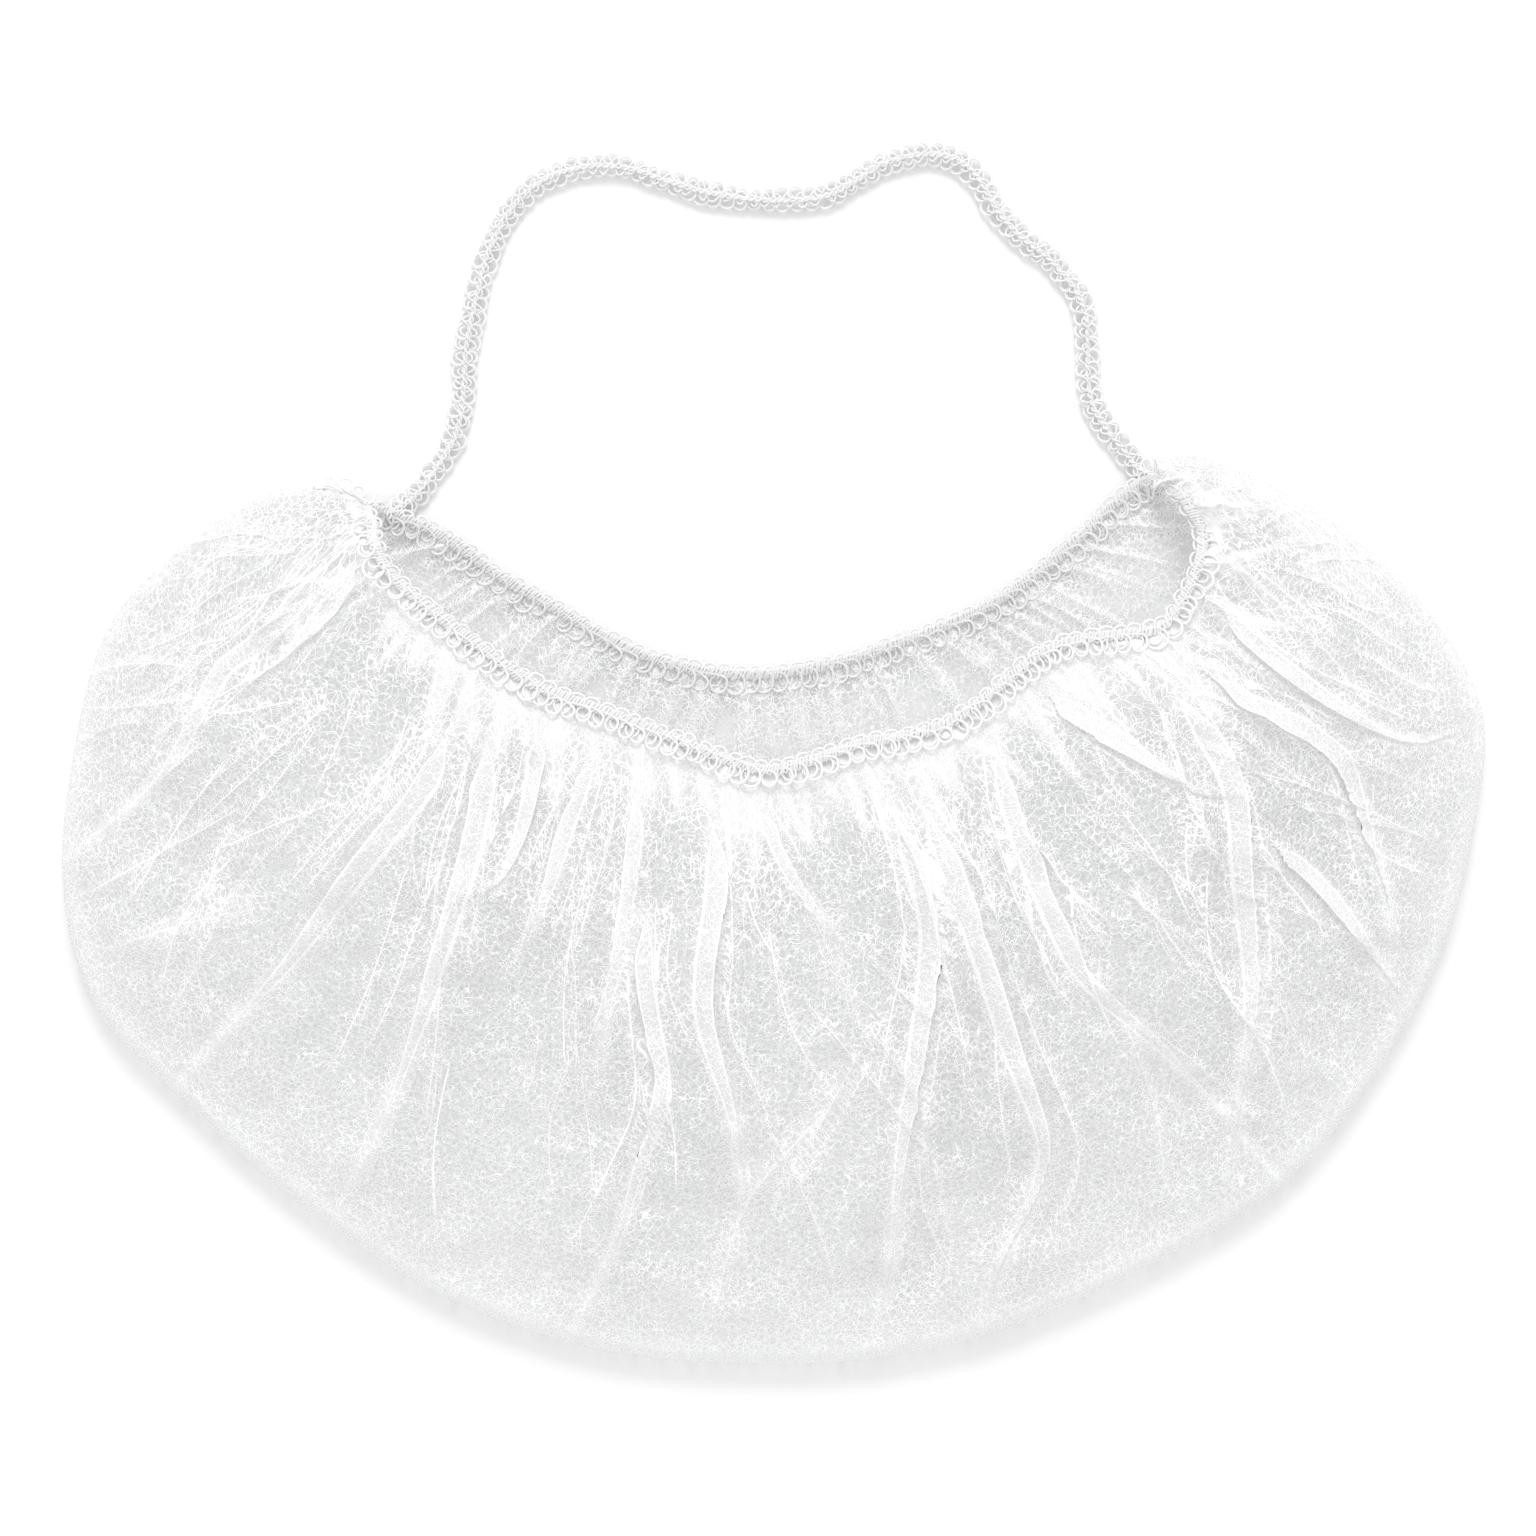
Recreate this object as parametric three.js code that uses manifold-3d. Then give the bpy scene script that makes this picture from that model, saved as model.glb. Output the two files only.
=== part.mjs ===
// Disposable beard net, lying as it does on a table: a half-moon pouch of thin
// non-woven cloth, open along its top edge, with an elastic gathered into that edge
// and a loop of the same elastic that goes behind the head.
// Millimetres. +Z is up from the table, +Y runs from the pouch to the loop.
// The origin is on the table, under the middle of the pouch.

import * as THREE from "three";
import { mergeVertices } from "three/addons/utils/BufferGeometryUtils.js";
import Module from "manifold-3d";

// Driving dimensions
const POUCH_WIDTH = 270;
const POUCH_DEPTH = 172;
const CROWN_HEIGHT = 21; // middle of the upper cloth above the table, without its folds
const EDGE_LIFT = 14; // middle of the upper mouth edge above the table
const CORNER_LIFT = 8.8; // upper mouth edge where it turns the corners
const RIM_HEIGHT = 7; // thickness of the bag at its rounded fold
const CLOTH_WALL = 1.2;
const ELASTIC_DIAMETER = 4.8;
const LOOP_DIAMETER = 4.6;
const PLEAT_HEIGHT = 3.4;
const PLEAT_WIDTH = 12;
const GATHER_HEIGHT = 1.1;
const FIT_GAP = 0.3; // between one piece and the next

// Fineness of the meshes
const COLUMNS_PER_SECTION = 3;
const PANEL_ROWS = 9;
const RIM_ROWS = 3;
const ELASTIC_STEPS = 120;
const LOOP_STEPS = 72;
const TUBE_SIDES = 10;

// The pouch is cut by sections that fan from its mouth to its fold. Each row is one
// section: where it meets the fold, the upper mouth edge and the lower mouth edge,
// across and up from the middle of the pouch, as shares of its width and depth, and
// how far the bag is open there, from 0 where both edges meet to 1.
const SECTION_COLUMNS = [
  "foldAcross", "foldUp", "upperAcross", "upperUp", "lowerAcross", "lowerUp", "open",
];
const SECTION_ROWS = [
  [-0.300, 0.458, -0.287, 0.444, -0.287, 0.444, 0.0],
  [-0.355, 0.461, -0.283, 0.430, -0.270, 0.437, 0.1],
  [-0.420, 0.395, -0.281, 0.420, -0.252, 0.426, 0.3],
  [-0.469, 0.308, -0.280, 0.410, -0.236, 0.414, 0.5],
  [-0.492, 0.176, -0.278, 0.398, -0.216, 0.395, 0.7],
  [-0.500, 0.030, -0.274, 0.384, -0.192, 0.367, 0.8],
  [-0.479, -0.102, -0.263, 0.361, -0.164, 0.342, 0.9],
  [-0.418, -0.206, -0.240, 0.330, -0.138, 0.318, 1.0],
  [-0.334, -0.322, -0.207, 0.291, -0.111, 0.294, 1.0],
  [-0.236, -0.423, -0.165, 0.246, -0.083, 0.276, 1.0],
  [-0.130, -0.482, -0.114, 0.216, -0.051, 0.263, 1.0],
  [-0.024, -0.500, -0.059, 0.182, -0.020, 0.259, 1.0],
  [0.075, -0.494, -0.003, 0.154, 0.011, 0.262, 1.0],
  [0.170, -0.458, 0.059, 0.182, 0.041, 0.271, 1.0],
  [0.272, -0.386, 0.116, 0.201, 0.070, 0.284, 1.0],
  [0.360, -0.300, 0.156, 0.243, 0.099, 0.300, 1.0],
  [0.424, -0.180, 0.193, 0.287, 0.127, 0.317, 1.0],
  [0.473, -0.034, 0.235, 0.301, 0.152, 0.336, 0.9],
  [0.495, 0.110, 0.270, 0.310, 0.176, 0.360, 0.8],
  [0.498, 0.220, 0.289, 0.350, 0.197, 0.386, 0.7],
  [0.465, 0.320, 0.298, 0.386, 0.217, 0.413, 0.6],
  [0.408, 0.412, 0.300, 0.412, 0.233, 0.438, 0.4],
  [0.350, 0.468, 0.295, 0.434, 0.247, 0.457, 0.3],
  [0.302, 0.499, 0.285, 0.456, 0.259, 0.471, 0.1],
  [0.268, 0.497, 0.272, 0.472, 0.272, 0.476, 0.0],
];

// The main folds of the upper cloth. Each row is one fold: the section it starts and
// ends on, how far down the cloth from the mouth to the fold line it starts and ends,
// and its width and height as shares of the pleat's.
const PLEAT_COLUMNS = ["fromSection", "toSection", "fromDown", "toDown", "width", "height"];
const PLEAT_ROWS = [
  [3.2, 4.9, 0.10, 0.96, 0.9, 0.9],
  [6.6, 7.1, 0.16, 0.97, 1.0, 1.0],
  [7.9, 8.3, 0.10, 0.92, 0.9, 1.0],
  [9.1, 8.2, 0.06, 0.50, 0.7, 0.7],
  [10.0, 9.2, 0.08, 0.45, 0.7, 0.7],
  [10.5, 10.0, 0.16, 0.96, 1.0, 1.0],
  [11.3, 10.9, 0.10, 0.80, 0.9, 1.0],
  [12.3, 13.2, 0.06, 0.42, 0.7, 0.7],
  [13.2, 12.1, 0.06, 0.98, 1.1, 1.0],
  [13.8, 12.9, 0.06, 0.98, 1.0, 1.0],
  [15.1, 15.0, 0.08, 0.92, 0.9, 0.9],
  [16.0, 16.9, 0.10, 0.95, 1.1, 1.0],
  [17.6, 14.6, 0.12, 0.86, 0.9, 0.9],
  [18.4, 18.1, 0.14, 0.84, 0.9, 0.8],
  [19.7, 19.0, 0.14, 0.92, 0.8, 0.8],
  [21.0, 20.6, 0.12, 0.70, 0.8, 0.6],
];

// Middle line of the head loop where it lies on the table, across and up, from the
// left corner of the mouth round to the right one.
const LOOP_POINTS = [
  [-69.5, 77.6], [-65.6, 81.9], [-60.8, 89.8], [-59.0, 98.4], [-58.6, 106.0],
  [-56.4, 117.4], [-54.2, 125.2], [-49.6, 133.6], [-43.8, 138.8], [-35.2, 141.4],
  [-27.4, 141.0], [-20.4, 138.6], [-11.6, 136.2], [-0.6, 134.9], [8.9, 135.5],
  [14.6, 138.0], [20.8, 141.8], [28.2, 143.7], [34.0, 143.0], [38.6, 139.6],
  [42.0, 133.8], [46.8, 128.2], [52.4, 123.8], [57.6, 117.6], [59.6, 111.2],
  [59.8, 101.4], [60.8, 95.6], [64.2, 90.4], [66.8, 87.2], [68.9, 84.4],
];

// How the cloth runs between the named heights
const LOWER_TURN = 0.08; // share of the opening in which the elastic turns a corner
const UPPER_TURN = 0.12;
const CROWN_SKEW = 1.25; // over 1 the bag is fullest nearer its mouth
const CROWN_ROUNDNESS = 0.8; // under 1 the bag is rounder
const PLEAT_ROUNDNESS = 0.7; // under 1 a pleat keeps its height for longer
const GATHER_REACH = 0.3; // how far down the cloth the gathers reach
const GATHER_START = 0.05; // where they have their full height
const FOLD_SHARPNESS = 6; // how near the fold line the pleats still stand up

const wasm = await Module();
wasm.setup();

const { clamp, lerp, smoothstep } = THREE.MathUtils;
const ELASTIC_RADIUS = ELASTIC_DIAMETER / 2;
const LAST_SECTION = SECTION_ROWS.length - 1;

function namedRows(columns, rows) {
  return rows.map((row) => Object.fromEntries(columns.map((name, i) => [name, row[i]])));
}

const sections = namedRows(SECTION_COLUMNS, SECTION_ROWS);
const pleats = namedRows(PLEAT_COLUMNS, PLEAT_ROWS);

// A smooth value of one column between the rows of the section table.
function sectionValue(name, section) {
  const index = Math.min(Math.floor(section), LAST_SECTION - 1);
  const share = section - index;
  const at = (i) => sections[clamp(i, 0, LAST_SECTION)][name];
  const slopeIn = (at(index + 1) - at(index - 1)) / 2;
  const slopeOut = (at(index + 2) - at(index)) / 2;
  const rise = at(index + 1) - at(index);
  const bend = 3 * rise - 2 * slopeIn - slopeOut;
  const twist = slopeIn + slopeOut - 2 * rise;
  return at(index) + share * (slopeIn + share * (bend + share * twist));
}

// Where the fold, the upper edge and the lower edge are on a section, seen from above.
function planPoint(line, section) {
  return new THREE.Vector2(
    sectionValue(`${line}Across`, section) * POUCH_WIDTH,
    sectionValue(`${line}Up`, section) * POUCH_DEPTH,
  );
}

// Height of the elastic's middle line on the upper and the lower mouth edge.
function edgeHeight(edge, section) {
  const open = sectionValue("open", section);
  const corner = (CORNER_LIFT + ELASTIC_RADIUS) / 2;
  if (edge === "lower") return lerp(corner, ELASTIC_RADIUS, clamp(open / LOWER_TURN, 0, 1));
  const turned = lerp(corner, CORNER_LIFT, clamp(open / UPPER_TURN, 0, 1));
  return lerp(turned, EDGE_LIFT, smoothstep(open, UPPER_TURN, 1));
}

// Height that the pleats and gathers add to the upper cloth at a point seen from above.
function foldHeight(point, section, down) {
  let height = 0;
  for (const pleat of pleats) {
    const start = panelPoint(pleat.fromSection, pleat.fromDown);
    const end = panelPoint(pleat.toSection, pleat.toDown);
    const run = end.clone().sub(start);
    const offset = point.clone().sub(start);
    const along = offset.dot(run) / run.lengthSq();
    const aside = Math.abs(offset.cross(run)) / run.length();
    const halfWidth = (pleat.width * PLEAT_WIDTH) / 2;
    if (along <= 0 || along >= 1 || aside >= halfWidth) continue;
    const fade = Math.sin(Math.PI * Math.sqrt(along)) ** PLEAT_ROUNDNESS;
    const crossShape = Math.cos((Math.PI * aside) / halfWidth / 2) ** 2;
    height = Math.max(height, pleat.height * PLEAT_HEIGHT * fade * crossShape);
  }
  const gatherFade = Math.max(0, 1 - down / GATHER_REACH) * Math.min(1, down / GATHER_START);
  const gather = Math.cos(2 * Math.PI * section) * GATHER_HEIGHT * gatherFade;
  return height + gather;
}

// A point of the upper cloth seen from above, from 0 at the mouth to 1 at the fold.
function panelPoint(section, down) {
  return planPoint("upper", section).lerp(planPoint("fold", section), down);
}

// A point of the outside of the bag on one section. along runs from -1 at the upper
// mouth edge through 0 at the fold to 1 at the lower mouth edge.
function bagPoint(section, along) {
  const fold = planPoint("fold", section);
  const open = sectionValue("open", section);
  const upperSide = along < 0;
  const edge = planPoint(upperSide ? "upper" : "lower", section);
  const reach = fold.distanceTo(edge);
  const radius = Math.min(RIM_HEIGHT / 2, reach / 2);
  const rimShare = RIM_ROWS / (PANEL_ROWS + RIM_ROWS);
  const fromFold = Math.abs(along);
  if (fromFold < rimShare) {
    const turn = ((fromFold / rimShare) * Math.PI) / 2;
    const inward = fold.clone().lerp(edge, (radius * (1 - Math.cos(turn))) / reach);
    const height = RIM_HEIGHT / 2 + (upperSide ? 1 : -1) * Math.sin(turn) * (RIM_HEIGHT / 2);
    return new THREE.Vector3(inward.x, inward.y, height);
  }
  const panelShare = (fromFold - rimShare) / (1 - rimShare);
  const point = fold.clone().lerp(edge, (radius + panelShare * (reach - radius)) / reach);
  if (!upperSide) {
    const edgeRise = edgeHeight("lower", section) - ELASTIC_RADIUS;
    return new THREE.Vector3(point.x, point.y, edgeRise * panelShare ** 2);
  }
  const down = 1 - (radius + panelShare * (reach - radius)) / reach;
  const edgeTop = edgeHeight("upper", section) + CLOTH_WALL / 2;
  const straight = lerp(RIM_HEIGHT, edgeTop, panelShare);
  const crown = (CROWN_HEIGHT - (RIM_HEIGHT + EDGE_LIFT) / 2) * open;
  const bulge = crown * Math.sin(Math.PI * panelShare ** CROWN_SKEW) ** CROWN_ROUNDNESS;
  const folds = foldHeight(point, section, down) * Math.min(1, open * 2);
  return new THREE.Vector3(point.x, point.y, straight + bulge + folds * (1 - down ** FOLD_SHARPNESS));
}

// The outside of the bag as a grid of sections, folded shut at both corners.
function bagGrid() {
  const columns = LAST_SECTION * COLUMNS_PER_SECTION;
  const halfRows = PANEL_ROWS + RIM_ROWS;
  const rowCount = 2 * halfRows + 1;
  const positions = [];
  for (let column = 0; column <= columns; column += 1) {
    const section = column / COLUMNS_PER_SECTION;
    const corner = column === 0 || column === columns;
    for (let row = 0; row < rowCount; row += 1) {
      const along = (row - halfRows) / halfRows;
      const point = bagPoint(section, along);
      if (corner) {
        const across = bagPoint(section, -along);
        point.add(across).multiplyScalar(0.5);
      }
      positions.push(point.x, point.y, point.z);
    }
  }
  const faces = [];
  for (let column = 0; column < columns; column += 1) {
    for (let row = 0; row < rowCount - 1; row += 1) {
      const a = column * rowCount + row;
      const b = a + rowCount;
      faces.push(a, a + 1, b, a + 1, b + 1, b);
    }
  }
  return { positions, faces };
}

function plainGeometry(positions, faces) {
  const geometry = new THREE.BufferGeometry();
  geometry.setAttribute("position", new THREE.Float32BufferAttribute(positions, 3));
  geometry.setIndex(faces);
  return geometry;
}

// Faces whose corners fell together at the folded ends are left out.
function withoutFlatFaces(geometry) {
  const index = Array.from(geometry.index.array);
  const kept = [];
  for (let i = 0; i < index.length; i += 3) {
    const [a, b, c] = index.slice(i, i + 3);
    if (a !== b && b !== c && c !== a) kept.push(a, b, c);
  }
  geometry.setIndex(kept);
  return geometry;
}

// Gives a sheet its wall: the same sheet again, a wall's thickness inside, joined to
// the first along its open edge.
function thickened(sheet, wall) {
  sheet.computeVertexNormals();
  const outer = sheet.attributes.position;
  const normals = sheet.attributes.normal;
  const positions = Array.from(outer.array);
  for (let i = 0; i < outer.count; i += 1) {
    positions.push(outer.getX(i) - wall * normals.getX(i));
    positions.push(outer.getY(i) - wall * normals.getY(i));
    positions.push(outer.getZ(i) - wall * normals.getZ(i));
  }
  const outside = Array.from(sheet.index.array);
  const faces = [...outside];
  const edges = new Map();
  for (let i = 0; i < outside.length; i += 3) {
    const corners = outside.slice(i, i + 3);
    faces.push(...corners.map((v) => v + outer.count).reverse());
    for (let k = 0; k < 3; k += 1) {
      edges.set(`${corners[k]} ${corners[(k + 1) % 3]}`, [corners[k], corners[(k + 1) % 3]]);
    }
  }
  for (const [a, b] of edges.values()) {
    if (edges.has(`${b} ${a}`)) continue;
    faces.push(b, a, a + outer.count, b, a + outer.count, b + outer.count);
  }
  return plainGeometry(positions, faces);
}

function toManifold(geometry) {
  const merged = geometry.clone();
  merged.deleteAttribute("normal");
  merged.deleteAttribute("uv");
  const single = withoutFlatFaces(mergeVertices(merged, 1e-5));
  return new wasm.Manifold(
    new wasm.Mesh({
      numProp: 3,
      vertProperties: Float32Array.from(single.attributes.position.array),
      triVerts: Uint32Array.from(single.index.array),
    }),
  );
}

function toGeometry(manifold) {
  const mesh = manifold.getMesh();
  const geometry = plainGeometry(mesh.vertProperties, Array.from(mesh.triVerts));
  geometry.computeVertexNormals();
  return geometry;
}

// The largest piece of a cut solid, without the crumbs that the cut leaves.
function largestPiece(manifold) {
  return manifold.decompose().reduce((a, b) => (a.volume() > b.volume() ? a : b));
}

// The elastic's closed middle line: along the upper edge from left to right, then
// back along the lower edge, nowhere lower than an elastic that lies on the table.
function elasticLine() {
  const points = [];
  for (let section = 0; section <= LAST_SECTION; section += 0.5) {
    const { x, y } = planPoint("upper", section);
    points.push(new THREE.Vector3(x, y, edgeHeight("upper", section)));
  }
  for (let section = LAST_SECTION - 0.5; section > 0; section -= 0.5) {
    const { x, y } = planPoint("lower", section);
    points.push(new THREE.Vector3(x, y, edgeHeight("lower", section)));
  }
  const smooth = new THREE.CatmullRomCurve3(points, true, "centripetal");
  const laid = smooth.getSpacedPoints(2 * ELASTIC_STEPS).slice(1);
  for (const point of laid) point.z = Math.max(point.z, ELASTIC_RADIUS);
  return new THREE.CatmullRomCurve3(laid, true, "centripetal");
}

function ringTube(line, radius) {
  return new THREE.TubeGeometry(line, ELASTIC_STEPS, radius, TUBE_SIDES, true);
}

function roundSection(radius) {
  const shape = new THREE.Shape();
  for (let side = 0; side < TUBE_SIDES; side += 1) {
    const angle = (2 * Math.PI * side) / TUBE_SIDES;
    const [x, y] = [radius * Math.cos(angle), radius * Math.sin(angle)];
    if (side === 0) shape.moveTo(x, y);
    else shape.lineTo(x, y);
  }
  shape.closePath();
  return shape;
}

function makeMouthElastic() {
  return toGeometry(toManifold(ringTube(elasticLine(), ELASTIC_RADIUS)));
}

// What the elastic and its clearance take away from the pieces that meet it.
function elasticRoom() {
  return toManifold(ringTube(elasticLine(), ELASTIC_RADIUS + FIT_GAP));
}

function makePouch() {
  const { positions, faces } = bagGrid();
  const sheet = withoutFlatFaces(mergeVertices(plainGeometry(positions, faces), 1e-4));
  const bag = toManifold(thickened(sheet, CLOTH_WALL));
  return toGeometry(largestPiece(bag.subtract(elasticRoom())));
}

function makeHeadLoop() {
  const height = LOOP_DIAMETER / 2;
  const points = LOOP_POINTS.map(([x, y]) => new THREE.Vector3(x, y, height));
  const line = new THREE.CatmullRomCurve3(points, false, "centripetal");
  const tube = new THREE.ExtrudeGeometry(roundSection(height), {
    steps: LOOP_STEPS,
    extrudePath: line,
    bevelEnabled: false,
  });
  return toGeometry(largestPiece(toManifold(tube).subtract(elasticRoom())));
}

// Materials
const cloth = new THREE.MeshStandardMaterial({ color: 0xf2f3f6, roughness: 0.85, metalness: 0 });
const overlock = new THREE.MeshStandardMaterial({ color: 0xf8f8f8, roughness: 0.7, metalness: 0 });

function piece(name, geometry, material) {
  const mesh = new THREE.Mesh(geometry, material);
  mesh.name = name;
  return mesh;
}

const beardNet = new THREE.Group();
beardNet.add(piece("net_pouch", makePouch(), cloth));
beardNet.add(piece("mouth_elastic", makeMouthElastic(), overlock.clone()));
beardNet.add(piece("head_loop", makeHeadLoop(), overlock.clone()));

export default beardNet;
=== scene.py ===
# %% [markdown]
# A disposable beard net, lying on a pale table and seen straight from above.
# It is one oval of thin non-woven cloth, folded in half into a pouch. The open edge
# is gathered on an overlocked elastic, and the same elastic makes the head loop.
# Everything below is in metres, in the frame of the model that is loaded first.

# %% Load the frame
import math

import bpy
import numpy as np
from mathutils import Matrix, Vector


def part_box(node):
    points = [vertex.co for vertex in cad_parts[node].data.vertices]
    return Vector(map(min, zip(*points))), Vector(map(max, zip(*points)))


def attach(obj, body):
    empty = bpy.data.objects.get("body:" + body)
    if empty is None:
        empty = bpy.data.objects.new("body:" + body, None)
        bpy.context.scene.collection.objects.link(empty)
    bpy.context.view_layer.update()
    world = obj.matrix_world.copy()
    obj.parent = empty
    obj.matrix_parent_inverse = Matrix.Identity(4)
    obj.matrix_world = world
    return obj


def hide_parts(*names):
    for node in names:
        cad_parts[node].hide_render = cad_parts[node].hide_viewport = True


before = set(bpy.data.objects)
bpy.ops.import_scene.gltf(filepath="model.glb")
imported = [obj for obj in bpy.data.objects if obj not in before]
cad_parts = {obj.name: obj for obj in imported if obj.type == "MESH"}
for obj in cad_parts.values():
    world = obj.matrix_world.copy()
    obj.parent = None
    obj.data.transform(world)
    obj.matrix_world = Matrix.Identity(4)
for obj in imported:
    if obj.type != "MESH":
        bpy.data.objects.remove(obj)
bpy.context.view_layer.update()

MM = 0.001
pouch_low, pouch_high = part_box("net_pouch")
POUCH_WIDTH = pouch_high.x - pouch_low.x
POUCH_DEPTH = pouch_high.y - pouch_low.y
print("pouch", round(POUCH_WIDTH, 4), "by", round(POUCH_DEPTH, 4))

# %% [markdown]
# The camera comes first, because the cord is measured against what it sees. The net
# is seen from straight above. A long lens far away keeps the high middle of the pouch
# from looking larger than its rim, as a flat product picture does.

# %% Camera
VIEW_WIDTH = 292.5 * MM
VIEW_CENTRE = Vector((-1.1 * MM, 26.9 * MM, 0))
SENSOR = 36.0
LENS = 180.0

camera_data = bpy.data.cameras.new("camera")
camera_data.sensor_width = SENSOR
camera_data.lens = LENS
camera = bpy.data.objects.new("camera", camera_data)
camera.location = VIEW_CENTRE + Vector((0, 0, VIEW_WIDTH * LENS / SENSOR))
bpy.context.scene.collection.objects.link(camera)
bpy.context.scene.camera = camera
print("camera height", round(camera.location.z, 3))

# %% [markdown]
# Overlock stitches are threads that loop round an elastic again and again. Seen from
# above, each edge of such an elastic is a row of little rings. They could be a bump
# picture on a plain tube, but the gaps between the rings show the table, so real
# thread is laid here, ring after ring.

# %% Lines and threads
def lengths_along(points):
    """How far along a line each of its points lies."""
    return np.r_[0, np.cumsum(np.linalg.norm(np.diff(points, axis=0), axis=1))]


def read_at(places, along, values):
    """What a line's values are at some places along it."""
    return np.column_stack([np.interp(places, along, column) for column in values.T])


def cubic(start, rise, slope_in, slope_out, share):
    """A smooth climb by rise, which begins with one slope and ends with another."""
    bend = 3 * rise - 2 * slope_in - slope_out
    twist = slope_in + slope_out - 2 * rise
    return start + share * (slope_in + share * (bend + share * twist))


def smooth_line(points, spacing, closed=False):
    """A smooth line through points, as many evenly spaced points."""
    points = np.asarray(points, float)
    if closed:
        ring = np.vstack([points[-1:], points, points[:2]])
    else:
        ring = np.vstack([2 * points[0] - points[1], points, 2 * points[-1] - points[-2]])
    share = np.linspace(0, 1, 24, endpoint=False)[:, None]
    fine = []
    for before, start, end, after in zip(ring, ring[1:], ring[2:], ring[3:]):
        fine.append(cubic(start, end - start, (end - before) / 2, (after - start) / 2, share))
    fine = np.vstack(fine + [ring[-2][None]])
    along = lengths_along(fine)
    count = max(2, int(round(along[-1] / spacing)) + 1)
    return read_at(np.linspace(0, along[-1], count), along, fine)


def line_frames(line):
    """Length along a line, its direction and its level sideways direction."""
    forward = np.gradient(line, axis=0)
    forward /= np.linalg.norm(forward, axis=1)[:, None]
    sideways = np.cross([0, 0, 1.0], forward)
    sideways /= np.linalg.norm(sideways, axis=1)[:, None]
    return lengths_along(line), forward, sideways


def tube(path, radius, sides=6):
    """Points and faces of a round thread along a path, closed at both ends."""
    path = np.asarray(path, float)
    radius = np.broadcast_to(np.asarray(radius, float), len(path))
    forward = np.gradient(path, axis=0)
    forward /= np.maximum(np.linalg.norm(forward, axis=1), 1e-12)[:, None]
    normal = np.cross(forward[0], [0.3, 0.2, 1.0])
    normals = np.empty_like(path)
    for i, direction in enumerate(forward):
        normal = normal - direction * normal.dot(direction)
        normal = normal / np.linalg.norm(normal)
        normals[i] = normal
    other = np.cross(forward, normals)
    angles = 2 * math.pi * np.arange(sides) / sides
    ring = (normals[:, None] * np.cos(angles)[:, None] + other[:, None] * np.sin(angles)[:, None])
    points = (path[:, None] + ring * radius[:, None, None]).reshape(-1, 3)
    faces = []
    for i in range(len(path) - 1):
        for k in range(sides):
            a, b = i * sides + k, i * sides + (k + 1) % sides
            faces.append((a, b, b + sides, a + sides))
    faces.append(tuple(range(sides))[::-1])
    faces.append(tuple(range(len(points) - sides, len(points))))
    return points, faces


def new_piece(name, points, faces):
    """A mesh object in the scene, and its mesh."""
    mesh = bpy.data.meshes.new(name)
    mesh.from_pydata(points, [], faces)
    mesh.update()
    piece = bpy.data.objects.new(name, mesh)
    bpy.context.scene.collection.objects.link(piece)
    print(name, len(mesh.polygons), "faces")
    return piece, mesh


def joined_mesh(name, parts):
    """One smooth mesh object from several (points, faces) parts."""
    points, faces, start = [], [], 0
    for part_points, part_faces in parts:
        points.append(part_points)
        faces += [tuple(v + start for v in face) for face in part_faces]
        start += len(part_points)
    piece, mesh = new_piece(name, np.vstack(points).tolist(), faces)
    mesh.polygons.foreach_set("use_smooth", [True] * len(mesh.polygons))
    return piece


# %% [markdown]
# No two hand-fed stitches are alike, so each ring gets its own small error in place
# and size. The errors come from one seeded generator, so they're the same every time.

# %% Uneven rows of rings
def ease(value, start, end):
    """0 up to start, 1 from end on and a soft step between them."""
    share = np.clip((value - start) / (end - start), 0, 1)
    return share * share * (3 - 2 * share)


def uneven(random, along, pitch, spread):
    """A value that wanders by about spread, with a new aim at every stitch."""
    knots = np.arange(-1, along[-1] / pitch + 2)
    aims = random.normal(0, spread, len(knots))
    return np.interp(along / pitch, knots, np.clip(aims, -2 * spread, 2 * spread))


STEP_FORWARD = 0.9  # radians before and after a ring's inner point


def ring_row(line, random, pitch, size, middle, rise, side, steps=24, height=0.0, slope=None):
    """A thread that lays ring after ring along a line, on one side of it, and steps
    forward at each ring's inner point.

    size is the rings' half length and half width, middle their distance from the line
    and rise how far they climb over and under it. side is -1 or 1, or a value for each
    point of the line where the thread changes sides. slope, where it is given, is how
    steeply the rings climb away from the line, for each of its points."""
    along, forward, sideways = line_frames(line)
    turns = int(along[-1] / pitch)
    angle = np.linspace(-math.pi, math.pi * (2 * turns - 1), turns * steps)
    ring = np.floor((angle + math.pi) / (2 * math.pi))
    turn = angle - 2 * math.pi * ring
    place = (ring + ease(turn, -STEP_FORWARD, STEP_FORWARD)) * along[-1] / turns
    place = place + uneven(random, place, pitch, 0.10 * pitch)
    grow = 1 + uneven(random, place, pitch, 0.14)
    shift = uneven(random, place, pitch, 0.14 * middle)
    turn = turn + uneven(random, place, pitch, 0.35)
    ahead = size[0] * grow * np.sin(turn)
    aside = middle + shift - size[1] * grow * np.cos(turn)
    at = np.clip(place + ahead, 0, along[-1])
    base = read_at(at, along, line)
    out = read_at(at, along, sideways)
    side = np.interp(at, along, np.broadcast_to(np.asarray(side, float), len(along)))
    base += side[:, None] * out * aside[:, None]
    base[:, 2] += height + rise * np.cos(turn + 0.5 * side)
    base[:, 2] += 0.7 * np.sqrt(1 - np.clip(side * side, 0, 1)) * np.maximum(aside, 0)
    if slope is not None:
        base[:, 2] += np.interp(at, along, slope) * np.maximum(aside, 0)
    return base


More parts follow.
